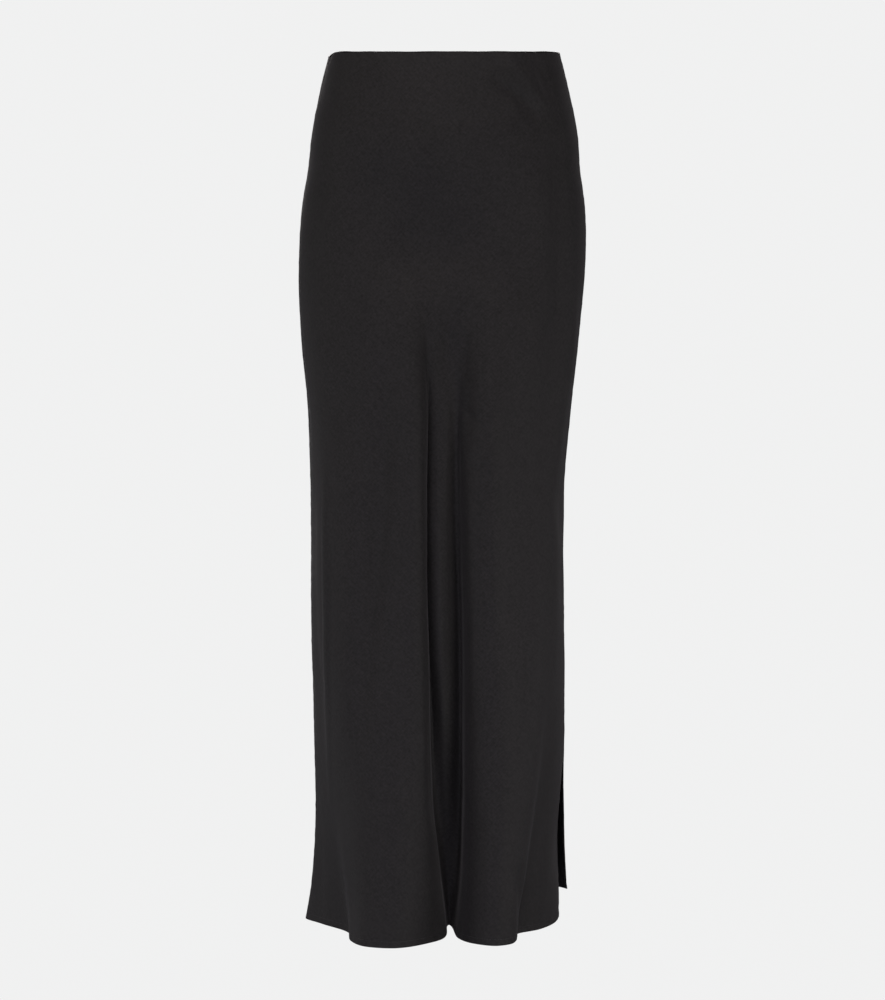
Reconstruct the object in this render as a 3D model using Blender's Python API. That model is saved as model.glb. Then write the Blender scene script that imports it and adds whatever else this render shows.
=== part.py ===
"""Bias-cut maxi skirt, hanging filled out as it does when worn, with nobody inside.

Metres, +Z up, the front faces -Y and the wearer's left is +X. The origin is the middle of the waist edge,
where the wearer holds the skirt up. Every piece of cloth is a thin closed wall. The wall's outer face is one
surface for each panel: a smooth body form, given by a table of sections, moved by a table of fold lines that
grow towards the hem.
"""

import math

import bmesh
import bpy
import numpy as np

# ---------------------------------------------------------------- driving sizes, in metres
LENGTH = 0.982  # waist edge to hem, measured straight down at the sides
WALL = 0.0012  # cloth thickness of the solids
SEAM_GAP = 0.0003  # clearance between sewn pieces
HEM_DEPTH = 0.008  # height of the turned-up hem, and width of the turned-in slit edges
HEM_WALL = 0.0010  # thickness of the turned layer
WAIST_TILT = {"front": 0.118, "back": 0.100}  # rise of the waist edge per metre towards the back
SEAM_DIP = {"right": 0.0055, "left": 0.0014}  # how far each seam pulls the waist edge down
DIP_WIDTH = {"front": 0.022, "back": 0.160}  # how far that reaches, as a share of each panel's width
DIP_SHAPE = {"front": 2, "back": 4}  # a higher power keeps it level for longer before it fades
BACK_HEM_RISE = 0.0184  # the seat takes up length, so the back hem hangs higher
RISE_SPAN = 0.35  # share of the back's width over which its hem climbs by that much
HITCH = 0.0090  # the front hem is drawn up by this much between the two big folds
HITCH_AT = 0.528  # where, as a share of the front's width
HITCH_WIDTH = 0.032  # how far it reaches, as a share of the same
SLIT_TOP = 0.763  # drop below the waist where the seam on the wearer's left stops
# Drops at which the fold tables give places.
LEVELS = {"thigh": 0.40, "calf": 0.68, "shin": 0.85, "hem": LENGTH}
FULLNESS = 0.12  # how much squarer than an ellipse a section is
# How far each seam is turned forward at the waist, in radians, and the drop over which that fades.
SIDE_WRAP = {"right": (0.35, 0.060), "left": (0.30, 0.030)}

COLUMNS = {"front": 58, "back": 38}  # faces round each panel
# Draws a panel's columns towards its middle, where the folds are narrow.
CROWDING = {"front": 0.060, "back": 0.0}
BODY_ROWS = 15  # faces from the waist to the top of the slit
SLIT_ROWS = 6  # faces from there to the hem's turn
SETTLING_PASSES = 3  # passes in which the fold lines find their shares of the panel
NORMAL_STEP = 0.002  # step of u and v to each side when a normal is taken
SHARP_ANGLE = math.radians(40)  # edges sharper than this stay crisp when shaded

# One row for each section. drop: distance below the waist edge. right, left: half-widths towards the wearer's
# right (-X) and left (+X). front, back: depths before and behind the side seams.
SECTION_COLUMNS = ("drop", "right", "left", "front", "back")
SECTIONS = (
    (-0.020, 0.1255, 0.1255, 0.085, 0.084),
    (0.000, 0.1292, 0.1292, 0.091, 0.088),
    (0.040, 0.1392, 0.1385, 0.101, 0.094),
    (0.100, 0.1504, 0.1502, 0.1065, 0.108),
    (0.130, 0.1534, 0.1522, 0.1049, 0.1172),
    (0.170, 0.1602, 0.1576, 0.1022, 0.1283),
    (0.235, 0.1645, 0.1583, 0.1025, 0.138),
    (0.320, 0.1620, 0.1515, 0.108, 0.135),
    (0.400, 0.1547, 0.1428, 0.112, 0.126),
    (0.485, 0.1520, 0.1355, 0.115, 0.120),
    (0.640, 0.1515, 0.1354, 0.122, 0.120),
    (0.780, 0.1482, 0.1358, 0.129, 0.126),
    (0.880, 0.1476, 0.1350, 0.134, 0.132),
    (0.945, 0.1525, 0.1358, 0.137, 0.136),
    (0.982, 0.1585, 0.1358, 0.139, 0.138),
)

# One row for each fold line, from the wearer's right seam (-X) to the left one (+X). starts: the drop where
# the line leaves the plain form. The others are its x and y at the drops in LEVELS, or None for the plain form.
FOLD_COLUMNS = ("line", "starts", "thigh", "calf", "shin", "hem")
FRONT_FOLDS = (
    ("side seam", 0.25, None, None, None, (-0.1585, 0.000)),
    ("right side", 0.25, (-0.1520, -0.027), (-0.1485, -0.022), (-0.1400, -0.030), (-0.1395, -0.034)),
    ("right notch", 0.25, (-0.1490, -0.044), (-0.1410, -0.052), (-0.1285, -0.064), (-0.1070, -0.087)),
    ("right wall", 0.25, (-0.1420, -0.062), (-0.1305, -0.088), (-0.1130, -0.104), (-0.1030, -0.134)),
    ("right front", 0.25, (-0.1000, -0.098), (-0.0950, -0.117), (-0.0840, -0.141), (-0.0860, -0.165)),
    ("right crest", 0.24, (-0.0460, -0.114), (-0.0480, -0.130), (-0.0465, -0.153), (-0.0560, -0.174)),
    ("right brim", 0.24, (-0.0262, -0.1132), (-0.0245, -0.1285), (-0.0195, -0.139), (-0.0190, -0.148)),
    ("right flank", 0.25, (-0.0210, -0.1065), (-0.0188, -0.119), (-0.0124, -0.120), (0.0018, -0.113)),
    ("right valley", 0.24, (-0.0178, -0.0972), (-0.0160, -0.1020), (-0.0076, -0.091), (0.0030, -0.094)),
    ("middle, right edge", 0.22, (-0.0136, -0.1005), (-0.0114, -0.108), (-0.0040, -0.090), (0.0040, -0.090)),
    ("middle", 0.21, (-0.0055, -0.1025), (-0.0040, -0.1120), (0.0012, -0.091), (0.0049, -0.088)),
    ("middle, left edge", 0.21, (0.0035, -0.1015), (0.0040, -0.108), (0.0064, -0.090), (0.0058, -0.090)),
    ("left valley", 0.22, (0.0140, -0.0965), (0.0170, -0.0945), (0.0146, -0.087), (0.0075, -0.095)),
    ("left flank", 0.24, (0.0232, -0.1045), (0.0224, -0.1095), (0.0222, -0.117), (0.0155, -0.122)),
    ("left brim", 0.24, (0.0335, -0.1120), (0.0290, -0.121), (0.0337, -0.134), (0.0300, -0.147)),
    ("left crest", 0.24, (0.0550, -0.1135), (0.0600, -0.129), (0.0606, -0.146), (0.0570, -0.161)),
    ("left front", 0.25, (0.0950, -0.0980), (0.0920, -0.115), (0.0835, -0.134), (0.0725, -0.150)),
    ("left wall", 0.25, (0.1180, -0.0800), (0.1080, -0.104), (0.0936, -0.121), (0.0780, -0.134)),
    ("left notch", 0.25, (0.1260, -0.0680), (0.1180, -0.090), (0.0994, -0.094), (0.0805, -0.095)),
    ("left side", 0.25, (0.1370, -0.0350), (0.1290, -0.058), (0.1175, -0.065), (0.1060, -0.068)),
    ("slit edge", SLIT_TOP, None, None, None, (0.1300, 0.009)),
)
BACK_FOLDS = (
    ("side seam", 0.25, None, None, None, (-0.1585, 0.000)),
    ("right side", 0.35, (-0.143, 0.060), (-0.140, 0.060), (-0.136, 0.061), (-0.146, 0.060)),
    ("right notch", 0.35, (-0.118, 0.090), (-0.110, 0.090), (-0.104, 0.093), (-0.112, 0.094)),
    ("right crest", 0.32, (-0.078, 0.119), (-0.076, 0.133), (-0.071, 0.154), (-0.076, 0.172)),
    ("right flank", 0.30, (-0.042, 0.122), (-0.041, 0.129), (-0.029, 0.141), (-0.026, 0.150)),
    ("middle valley", 0.30, (-0.014, 0.116), (-0.013, 0.103), (-0.005, 0.093), (-0.004, 0.082)),
    ("left flank", 0.30, (0.014, 0.121), (0.014, 0.127), (0.017, 0.138), (0.014, 0.142)),
    ("left crest", 0.32, (0.046, 0.122), (0.047, 0.135), (0.053, 0.157), (0.052, 0.171)),
    ("left notch", 0.35, (0.090, 0.097), (0.086, 0.100), (0.092, 0.107), (0.090, 0.104)),
    ("left side", 0.35, (0.116, 0.068), (0.117, 0.070), (0.122, 0.091), (0.122, 0.106)),
    ("slit edge", SLIT_TOP, None, None, None, (0.1440, 0.090)),
)
FOLDS = {"front": FRONT_FOLDS, "back": BACK_FOLDS}
# The slit's edges leave the seam line and swing away. They have gone a share of the way to the hem place. It is
# the share of the slit's height to a power: SLIT_CURVE forwards or back, SLIT_OUT to the side.
SLIT_CURVE = {"front": 0.8, "back": 1.25}
SLIT_OUT = {"front": 1, "back": 2}
SLIT_TUCK = 0.0075  # the front edge swings in by about half of this, halfway down the slit

CLOTH_COLOUR = (0.0176, 0.0168, 0.0172, 1.0)
HEM_COLOUR = (0.0150, 0.0142, 0.0146, 1.0)
CLOTH_ROUGHNESS = 0.68


# ---------------------------------------------------------------- curves through the tables
def slopes_of(xs, ys, flat_ends):
    """Slope at each knot on axis 0 from its two neighbours, and none at the end knots if flat_ends."""
    h, d = np.diff(xs, axis=0), np.diff(ys, axis=0)
    s = d / h
    inner = (s[:-1] * h[1:] + s[1:] * h[:-1]) / (h[1:] + h[:-1])
    keep = 0.0 if flat_ends else 1.0
    return np.concatenate([keep * s[:1], inner, keep * s[-1:]])


def hermite(x, xs, ys, slopes):
    """Cubic through knots with the given slopes, read at x. Past the end knots it goes on straight."""
    i = np.clip((xs <= x).sum(axis=0) - 1, 0, len(xs) - 2)[None]

    def at(values, k):
        return np.take_along_axis(values, i + k, axis=0)[0]

    step = at(xs, 1) - at(xs, 0)
    t = np.clip((x - at(xs, 0)) / step, 0.0, 1.0)
    value = (1 + 2 * t) * (1 - t) ** 2 * at(ys, 0) + t * t * (3 - 2 * t) * at(ys, 1)
    value += t * (1 - t) ** 2 * step * at(slopes, 0) + t * t * (t - 1) * step * at(slopes, 1)
    return value + slopes[0] * np.minimum(x - xs[0], 0) + slopes[-1] * np.maximum(x - xs[-1], 0)


def through(x, xs, ys, flat_ends=False):
    """Smooth curve through knots. xs and ys are plain lists, or hold a list of knots for each value in x."""
    x, xs, ys = (np.asarray(a, float) for a in (x, xs, ys))
    xs, ys = (a.reshape(a.shape + (1,) * (x.ndim + 1 - a.ndim)) for a in (xs, ys))
    xs, ys = (np.broadcast_to(a, (len(a),) + x.shape) for a in (xs, ys))
    return hermite(x, xs, ys, slopes_of(xs, ys, flat_ends))


def section(drop):
    """Half-widths and depths of the plain body form at a drop, as a dict of named values."""
    table = np.array(SECTIONS)
    return {
        name: through(drop, table[:, 0], table[:, k])
        for k, name in enumerate(SECTION_COLUMNS)
        if k
    }


def plain_form(side, u, drop):
    """The smooth form under the folds. u runs from 0 at the seam on -X to 1 at the seam on +X."""
    size = section(drop)
    wrap = {s: turn * np.exp(-np.maximum(drop, 0) / fade) for s, (turn, fade) in SIDE_WRAP.items()}
    sign = 1.0 if side == "front" else -1.0
    start = sign * wrap["right"]
    stop = math.pi - sign * wrap["left"]
    angle = start + u * (stop - start)
    c, s = np.cos(angle), np.sin(angle)
    middle = (size["left"] - size["right"]) / 2
    half = (size["right"] + size["left"]) / 2
    x = middle - half * c * (1 + FULLNESS * s * s)
    ahead = np.where(s * sign >= 0, size["front"], size["back"])
    y = -sign * ahead * s * (1 + FULLNESS * c * c)
    return x, y


# ---------------------------------------------------------------- folds
def fold_rows(side):
    return [dict(zip(FOLD_COLUMNS, row)) for row in FOLDS[side]]


def shares(places):
    """Where each fold line lies across the panel, from 0 to 1, by the length of cloth between the lines."""
    steps = np.hypot(*np.diff(places, axis=0).T)
    return np.concatenate([[0.0], np.cumsum(steps)]) / steps.sum()


def fold_level(side, level):
    """At one level: each fold line's share across the panel, and its move off the plain form."""
    rows = fold_rows(side)
    share = np.linspace(0, 1, len(rows))
    given = np.array([row[level] or (np.nan, np.nan) for row in rows])
    # A line on the plain form needs its share first, so a few passes settle them.
    for _ in range(SETTLING_PASSES):
        form = np.stack(plain_form(side, share, np.full(len(rows), LEVELS[level])), axis=1)
        places = np.where(np.isnan(given), form, given)
        share = shares(places)
    return share, places - form


def grow(drop, start, moves):
    """A fold line's move at a drop: none above its start, then a smooth curve through those at the levels."""
    knots = np.array([start, *LEVELS.values()]).reshape(-1, 1, 1)
    values = np.array([0.0, *moves]).reshape(-1, 1, 1)
    slopes = slopes_of(knots, values, flat_ends=False)
    slopes[0] = 0
    knots, values, slopes = (np.broadcast_to(a, (len(a),) + drop.shape) for a in (knots, values, slopes))
    return hermite(drop, knots, values, slopes)


def slit_edge(side, drop, at_hem):
    """The move of a slit's edge off the seam line, growing from the top of the slit."""
    t = np.maximum((drop - SLIT_TOP) / (LENGTH - SLIT_TOP), 0)
    x = at_hem[0] * t ** SLIT_OUT[side]
    if side == "front":
        x = x - SLIT_TUCK * np.sin(math.pi * np.minimum(t, 1)) ** 2 * t
    return x, at_hem[1] * t ** SLIT_CURVE[side]


def waist_drop(side, u):
    """How far the waist edge lies below the origin's height."""
    y = plain_form(side, u, np.zeros_like(u))[1]
    tilt = np.where(y < 0, WAIST_TILT["front"], WAIST_TILT["back"])
    width, shape = DIP_WIDTH[side], DIP_SHAPE[side]
    dip = SEAM_DIP["right"] * np.exp(-((u / width) ** shape))
    dip = dip + SEAM_DIP["left"] * np.exp(-(((1 - u) / width) ** shape))
    return -tilt * y + dip


def hem_drop(side, u):
    """How far the hem lies below the origin's height."""
    if side == "front":
        return LENGTH - HITCH * np.exp(-(((u - HITCH_AT) / HITCH_WIDTH) ** 2))
    return LENGTH - BACK_HEM_RISE * np.sin(0.5 * math.pi * np.clip(u / RISE_SPAN, 0, 1)) ** 2


def outer(side, u, v):
    """Grid of points on a panel's outer face. u goes across from -X to +X, v from 0 at the waist to 1 below."""
    top = waist_drop(side, u)
    drop = top + v * (hem_drop(side, u) - top)
    share, moves = zip(*(fold_level(side, level) for level in LEVELS))
    level_drops = list(LEVELS.values())
    settled = np.clip(drop, level_drops[0], level_drops[-1])
    rows = fold_rows(side)
    lines = np.array([through(settled, level_drops, [level[k] for level in share]) for k in range(len(rows))])
    place = list(plain_form(side, u, drop))
    for axis in (0, 1):
        moved = [grow(drop, row["starts"], [m[k, axis] for m in moves]) for k, row in enumerate(rows)]
        moved[-1] = slit_edge(side, drop, moves[-1][-1])[axis]
        # Flat ends keep both panels at right angles to the seam, so they meet without a corner.
        place[axis] = place[axis] + through(u, lines, np.array(moved), flat_ends=True)
    return np.stack(place + [-drop], axis=-1)


# ---------------------------------------------------------------- walls
def outward(side, u, v):
    """Unit normals of the outer face, pointing out of the skirt, from points a small step to each side."""
    across = outer(side, u + NORMAL_STEP, v) - outer(side, u - NORMAL_STEP, v)
    down = outer(side, u, v + NORMAL_STEP) - outer(side, u, v - NORMAL_STEP)
    n = np.cross(down, across) if side == "front" else np.cross(across, down)
    return n / np.linalg.norm(n, axis=-1, keepdims=True)


def draw_in_edges(points, distance):
    """Moves the two side edges of a grid towards its middle, to leave a seam's clearance."""
    for edge, inner in ((0, 1), (-1, -2)):
        way = points[inner] - points[edge]
        points[edge] += way / np.linalg.norm(way, axis=-1, keepdims=True) * distance


def wall_mesh(name, near_points, far_points):
    """A closed mesh between two grids of the same size, with its rim."""
    count_u, count_v = near_points.shape[:2]
    mesh = bmesh.new()
    near, far = (
        [[mesh.verts.new(points[i, j]) for j in range(count_v)] for i in range(count_u)]
        for points in (near_points, far_points)
    )
    for i in range(count_u - 1):
        for j in range(count_v - 1):
            mesh.faces.new((near[i][j], near[i][j + 1], near[i + 1][j + 1], near[i + 1][j]))
            mesh.faces.new((far[i][j], far[i + 1][j], far[i + 1][j + 1], far[i][j + 1]))
    rim = [(i, 0) for i in range(count_u)]
    rim += [(count_u - 1, j) for j in range(1, count_v)]
    rim += [(i, count_v - 1) for i in range(count_u - 2, -1, -1)]
    rim += [(0, j) for j in range(count_v - 2, 0, -1)]
    for (i, j), (k, m) in zip(rim, rim[1:] + rim[:1]):
        mesh.faces.new((near[i][j], near[k][m], far[k][m], far[i][j]))
    bmesh.ops.recalc_face_normals(mesh, faces=mesh.faces)
    data = bpy.data.meshes.new(name)
    mesh.to_mesh(data)
    mesh.free()
    return data


def material(name, colour):
    made = bpy.data.materials.new(name)
    made.use_nodes = True
    shader = made.node_tree.nodes["Principled BSDF"]
    shader.inputs["Base Color"].default_value = colour
    shader.inputs["Roughness"].default_value = CLOTH_ROUGHNESS
    shader.inputs["Metallic"].default_value = 0.0
    return made


def add_layer(name, side, us, vs, depth, thickness, finish):
    """A layer of cloth under a panel's outer face: its own outer side lies depth inside that face."""
    u, v = np.meshgrid(us, vs, indexing="ij")
    face, n = outer(side, u, v), outward(side, u, v)
    near_points, far_points = face - n * depth, face - n * (depth + thickness)
    draw_in_edges(near_points, SEAM_GAP / 2)
    draw_in_edges(far_points, SEAM_GAP / 2)
    data = wall_mesh(name, near_points, far_points)
    data.materials.append(finish)
    data.shade_smooth()
    data.set_sharp_from_angle(angle=SHARP_ANGLE)
    made = bpy.data.objects.new(name, data)
    bpy.context.scene.collection.objects.link(made)


def columns(side):
    """The shares u of a panel's columns. The last column is as wide as the slit's turned-in edge."""
    ends = np.array([[1 - NORMAL_STEP], [1.0]])
    a, b = outer(side, ends, np.full_like(ends, SLIT_TOP / LENGTH))[:, 0]
    edge = 1 - HEM_DEPTH / np.linalg.norm(b - a) * NORMAL_STEP
    u = np.linspace(0, 1, COLUMNS[side])
    u = u + CROWDING[side] * np.sin(2 * math.pi * u) * np.sin(math.pi * u) ** 2
    return np.append(u * edge, 1.0)


def main():
    for left_over in list(bpy.data.objects):
        bpy.data.objects.remove(left_over, do_unlink=True)
    cloth = material("bias_cloth", CLOTH_COLOUR)
    turned = material("turned_edge", HEM_COLOUR)
    slit_top, hem_top = SLIT_TOP / LENGTH, 1 - HEM_DEPTH / LENGTH
    under = WALL + SEAM_GAP
    # The panel has a line of points along the top of the slit, the hem and the slit's turned edge. The turned
    # layers share its facets and lie flat against it.
    body_rows = np.linspace(0, slit_top, BODY_ROWS + 1)
    slit_rows = np.linspace(slit_top, hem_top, SLIT_ROWS + 1)
    for side in ("front", "back"):
        us = columns(side)
        vs = np.concatenate([body_rows, slit_rows[1:], [1.0]])
        add_layer(side + "_panel", side, us, vs, 0, WALL, cloth)
        add_layer(side + "_hem", side, us, np.array([hem_top, 1.0]), under, HEM_WALL, turned)
        below_hem = np.append(slit_rows[:-1], hem_top - SEAM_GAP / LENGTH)
        add_layer(side + "_slit_hem", side, us[-2:], below_hem, under, HEM_WALL, turned)


main()
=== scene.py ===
# %% [markdown]
# # A bias-cut maxi skirt, filled out as if worn
#
# The real skirt is two panels of thin black cloth, cut at 45 degrees to their threads and sewn at the
# sides. Cloth cut that way clings to the hips and falls in soft folds, and that fall is most of what there
# is to see. This lesson builds each panel as one formula, adds creases, turned edges and stitches, and ends
# with the shader, the light and the camera. The solid model is loaded first. It is the frame: everything
# made here has to lie on it.

# %% Load the frame
import math

import bmesh
import bpy
import numpy as np
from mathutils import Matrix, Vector


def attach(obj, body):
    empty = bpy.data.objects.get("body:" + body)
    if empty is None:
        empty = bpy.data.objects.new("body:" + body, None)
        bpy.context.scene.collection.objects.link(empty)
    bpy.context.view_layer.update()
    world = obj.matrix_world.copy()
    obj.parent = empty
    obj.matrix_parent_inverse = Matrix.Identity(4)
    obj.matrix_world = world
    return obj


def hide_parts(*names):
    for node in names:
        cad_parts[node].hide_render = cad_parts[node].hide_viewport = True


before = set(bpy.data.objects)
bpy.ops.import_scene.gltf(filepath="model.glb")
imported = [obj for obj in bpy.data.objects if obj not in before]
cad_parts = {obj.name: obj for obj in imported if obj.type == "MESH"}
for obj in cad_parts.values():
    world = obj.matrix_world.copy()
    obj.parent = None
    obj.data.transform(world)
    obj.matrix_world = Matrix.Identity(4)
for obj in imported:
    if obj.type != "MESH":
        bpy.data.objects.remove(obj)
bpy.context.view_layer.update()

# %% [markdown]
# ## The sizes of the skirt
#
# All lengths are in metres. The origin is the middle of the waist edge, +Z is up, the front faces -Y and
# the wearer's left is at +X. Heights are given as a drop, the distance below the waist. The solid model has
# the same sizes, and the same tables of sections and folds.

# %% Sizes of the garment
LENGTH = 0.982  # waist edge to hem, straight down at the sides
CLOTH = 0.0008  # thickness of one layer
TURN = 0.008  # height of the turned-up hem, and width of the turned-in slit edges
WAIST_TILT = {"front": 0.118, "back": 0.1}  # rise of the waist edge per metre towards the back
BACK_HEM_RISE = 0.0184  # the seat takes up length, so the back hem hangs higher
RISE_SPAN = 0.35  # share of the back's width over which its hem climbs by that much
SLIT_TOP = 0.763  # drop at which the seam on the wearer's left stops
# Drops at which the fold tables give places.
LEVELS = {"thigh": 0.40, "calf": 0.68, "shin": 0.85, "hem": LENGTH}
FULLNESS = 0.12  # how much squarer than an ellipse a section is
# How far each seam is turned forward at the waist, in radians, and the drop over which that fades.
SIDE_WRAP = {"right": (0.35, 0.06), "left": (0.3, 0.03)}
SLIT_CURVE = {"front": 0.8, "back": 1.25}  # how late each slit edge swings away from the other
SLIT_OUT = {"front": 1, "back": 2}  # how late it swings outwards
SLIT_TUCK = 0.0075  # the front slit edge swings in by about half of this, halfway down
print(f"skirt {LENGTH * 1000:.0f} mm long, slit {(LENGTH - SLIT_TOP) * 1000:.0f} mm")

# %% [markdown]
# ## The body form: a short table of sections
#
# Under its folds the skirt is a smooth tube. Each row gives one section of it: half-widths to the wearer's
# right (-X) and left (+X), and depths before and behind the side seams. A curve through the rows gives
# every height in between. Fifteen rows are easier to read and to correct than thousands of points.

# %% The section table
SECTION_COLUMNS = ("drop", "right", "left", "front", "back")
SECTIONS = (
    (-0.02, 0.1255, 0.1255, 0.085, 0.084),
    (0.0, 0.1292, 0.1292, 0.091, 0.088),
    (0.04, 0.1392, 0.1385, 0.101, 0.094),
    (0.1, 0.1504, 0.1502, 0.1065, 0.108),
    (0.13, 0.1534, 0.1522, 0.1049, 0.1172),
    (0.17, 0.1602, 0.1576, 0.1022, 0.1283),
    (0.235, 0.1645, 0.1583, 0.1025, 0.138),
    (0.32, 0.162, 0.1515, 0.108, 0.135),
    (0.4, 0.1547, 0.1428, 0.112, 0.126),
    (0.485, 0.152, 0.1355, 0.115, 0.12),
    (0.64, 0.1515, 0.1354, 0.122, 0.12),
    (0.78, 0.1482, 0.1358, 0.129, 0.126),
    (0.88, 0.1476, 0.135, 0.134, 0.132),
    (0.945, 0.1525, 0.1358, 0.137, 0.136),
    (0.982, 0.1585, 0.1358, 0.139, 0.138),
)
print(len(SECTIONS), "sections")

# %% [markdown]
# ## The folds: one row for each fold line
#
# A fold line is a crest, a valley or the steep cloth between them. Each starts at some drop, where the
# cloth leaves the smooth form, and passes through places at four levels: thigh, calf, shin and hem. The
# front has two big rounded folds. Over the gap between the legs lies a valley with a low ridge along its
# middle, which sinks away towards the hem. None means that the line stays on the smooth form.

# %% The fold tables
FOLD_COLUMNS = ("line", "starts", "thigh", "calf", "shin", "hem")
FRONT_FOLDS = (
    ("side seam", 0.25, None, None, None, (-0.1585, 0.0)),
    ("right side", 0.25, (-0.152, -0.027), (-0.1485, -0.022), (-0.14, -0.03), (-0.1395, -0.034)),
    ("right notch", 0.25, (-0.149, -0.044), (-0.141, -0.052), (-0.1285, -0.064), (-0.107, -0.087)),
    ("right wall", 0.25, (-0.142, -0.062), (-0.1305, -0.088), (-0.113, -0.104), (-0.103, -0.134)),
    ("right front", 0.25, (-0.1, -0.098), (-0.095, -0.117), (-0.084, -0.141), (-0.086, -0.165)),
    ("right crest", 0.24, (-0.046, -0.114), (-0.048, -0.13), (-0.0465, -0.153), (-0.056, -0.174)),
    ("right brim", 0.24, (-0.0262, -0.1132), (-0.0245, -0.1285), (-0.0195, -0.139), (-0.019, -0.148)),
    ("right flank", 0.25, (-0.021, -0.1065), (-0.0188, -0.119), (-0.0124, -0.12), (0.0018, -0.113)),
    ("right valley", 0.24, (-0.0178, -0.0972), (-0.016, -0.102), (-0.0076, -0.091), (0.003, -0.094)),
    ("middle, right edge", 0.22, (-0.0136, -0.1005), (-0.0114, -0.108), (-0.004, -0.09), (0.004, -0.09)),
    ("middle", 0.21, (-0.0055, -0.1025), (-0.004, -0.112), (0.0012, -0.091), (0.0049, -0.088)),
    ("middle, left edge", 0.21, (0.0035, -0.1015), (0.004, -0.108), (0.0064, -0.09), (0.0058, -0.09)),
    ("left valley", 0.22, (0.014, -0.0965), (0.017, -0.0945), (0.0146, -0.087), (0.0075, -0.095)),
    ("left flank", 0.24, (0.0232, -0.1045), (0.0224, -0.1095), (0.0222, -0.117), (0.0155, -0.122)),
    ("left brim", 0.24, (0.0335, -0.112), (0.029, -0.121), (0.0337, -0.134), (0.03, -0.147)),
    ("left crest", 0.24, (0.055, -0.1135), (0.06, -0.129), (0.0606, -0.146), (0.057, -0.161)),
    ("left front", 0.25, (0.095, -0.098), (0.092, -0.115), (0.0835, -0.134), (0.0725, -0.15)),
    ("left wall", 0.25, (0.118, -0.08), (0.108, -0.104), (0.0936, -0.121), (0.078, -0.134)),
    ("left notch", 0.25, (0.126, -0.068), (0.118, -0.09), (0.0994, -0.094), (0.0805, -0.095)),
    ("left side", 0.25, (0.137, -0.035), (0.129, -0.058), (0.1175, -0.065), (0.106, -0.068)),
    ("slit edge", SLIT_TOP, None, None, None, (0.13, 0.009)),
)
BACK_FOLDS = (
    ("side seam", 0.25, None, None, None, (-0.1585, 0.0)),
    ("right side", 0.35, (-0.143, 0.06), (-0.14, 0.06), (-0.136, 0.061), (-0.146, 0.06)),
    ("right notch", 0.35, (-0.118, 0.09), (-0.11, 0.09), (-0.104, 0.093), (-0.112, 0.094)),
    ("right crest", 0.32, (-0.078, 0.119), (-0.076, 0.133), (-0.071, 0.154), (-0.076, 0.172)),
    ("right flank", 0.3, (-0.042, 0.122), (-0.041, 0.129), (-0.029, 0.141), (-0.026, 0.15)),
    ("middle valley", 0.3, (-0.014, 0.116), (-0.013, 0.103), (-0.005, 0.093), (-0.004, 0.082)),
    ("left flank", 0.3, (0.014, 0.121), (0.014, 0.127), (0.017, 0.138), (0.014, 0.142)),
    ("left crest", 0.32, (0.046, 0.122), (0.047, 0.135), (0.053, 0.157), (0.052, 0.171)),
    ("left notch", 0.35, (0.09, 0.097), (0.086, 0.1), (0.092, 0.107), (0.09, 0.104)),
    ("left side", 0.35, (0.116, 0.068), (0.117, 0.07), (0.122, 0.091), (0.122, 0.106)),
    ("slit edge", SLIT_TOP, None, None, None, (0.144, 0.09)),
)
FOLDS = {"front": FRONT_FOLDS, "back": BACK_FOLDS}
print({side: len(rows) for side, rows in FOLDS.items()}, "fold lines")

# %% [markdown]
# ## Curves through tables
#
# A cubic Hermite curve passes exactly through its knots and takes its slope from the neighbours, so a
# changed row moves only the cloth near it. It is written with numpy for all points of a panel at once, each
# with knots of its own, because the fold lines wander as they go down.

# %% Smooth curves
def slopes_of(xs, ys):
    h = np.diff(xs, axis=0)
    s = np.diff(ys, axis=0) / h
    inner = (s[:-1] * h[1:] + s[1:] * h[:-1]) / (h[1:] + h[:-1])
    return np.concatenate([s[:1], inner, s[-1:]])


def hermite(x, xs, ys, slopes):
    """Cubic through knots with the given slopes, read at x. Past the end knots it goes on straight."""
    i = np.clip((xs <= x).sum(axis=0) - 1, 0, len(xs) - 2)[None]

    def at(values, k):
        return np.take_along_axis(values, i + k, axis=0)[0]

    step = at(xs, 1) - at(xs, 0)
    t = np.clip((x - at(xs, 0)) / step, 0.0, 1.0)
    value = (1 + 2 * t) * (1 - t) ** 2 * at(ys, 0) + t * t * (3 - 2 * t) * at(ys, 1)
    value += t * (1 - t) ** 2 * step * at(slopes, 0) + t * t * (t - 1) * step * at(slopes, 1)
    return value + slopes[0] * np.minimum(x - xs[0], 0) + slopes[-1] * np.maximum(x - xs[-1], 0)


def through(x, xs, ys, flat=()):
    """Smooth curve through knots. xs and ys are plain lists, or hold a list for each value in x.

    The curve sets out level from the ends named in flat, 0 for the first and -1 for the last.
    """
    x, xs, ys = (np.asarray(a, float) for a in (x, xs, ys))
    xs, ys = (a.reshape(a.shape + (1,) * (x.ndim + 1 - a.ndim)) for a in (xs, ys))
    xs, ys = (np.broadcast_to(a, (len(a),) + x.shape) for a in (xs, ys))
    slopes = slopes_of(xs, ys)
    for end in flat:
        slopes[end] = 0
    return hermite(x, xs, ys, slopes)


print("halfway between 0 and 1:", float(through(0.5, [0, 1], [0, 1])))

# %% [markdown]
# ## The smooth form
#
# Each panel is half of the tube. Across it, u runs from 0 at the seam on the wearer's right to 1 at the
# left one. Near the waist the angle starts a little in front of the side, because the seams swing forward.

# %% The form under the folds
def section(drop):
    table = np.array(SECTIONS)
    return {name: through(drop, table[:, 0], table[:, k]) for k, name in enumerate(SECTION_COLUMNS) if k}


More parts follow.
